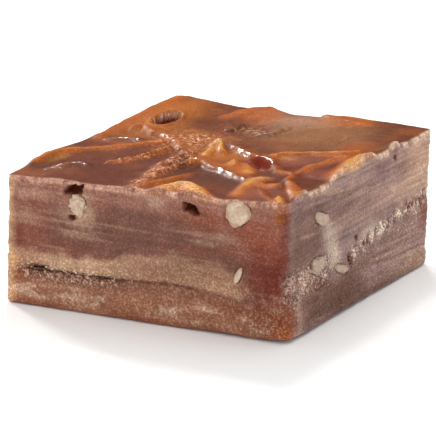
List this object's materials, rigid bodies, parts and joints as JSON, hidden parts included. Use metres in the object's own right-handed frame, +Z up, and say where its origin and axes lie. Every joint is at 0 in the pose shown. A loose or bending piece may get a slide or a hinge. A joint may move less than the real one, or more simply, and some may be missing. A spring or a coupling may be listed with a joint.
{
  "type": "slice of layered nut fudge",
  "caption": "Thick square-cut slice of layered chocolate nut fudge with a folded, poured top, a pale middle layer and nut pieces in its cut sides.",
  "frame": {"origin": "middle of the underside", "axes": "+Z up; the front cut, with the two air bubbles near its top edge, faces -Y; the right cut, where the pale layer climbs towards the back, faces +X"},
  "size_m": [0.06, 0.063, 0.0285],
  "materials": {
    "chocolate_layer": "cut fudge: satin, faintly waxy, with a glossier poured top",
    "pale_layer": "crumbly pale fudge, matte",
    "base_layer": "cut fudge, satin, mottled with pale streaks",
    "nut": "cut nut flesh, matte"
  },
  "bodies": {
    "root": {"base_layer": "base_layer", "pale_layer": "pale_layer", "chocolate_layer": "chocolate_layer", "nut_front_left": "nut", "nut_front_right": "nut", "nut_front_sliver": "nut", "nut_right_long": "nut", "nut_right_rough": "nut", "nut_right_low": "nut"}
  },
  "joints": []
}
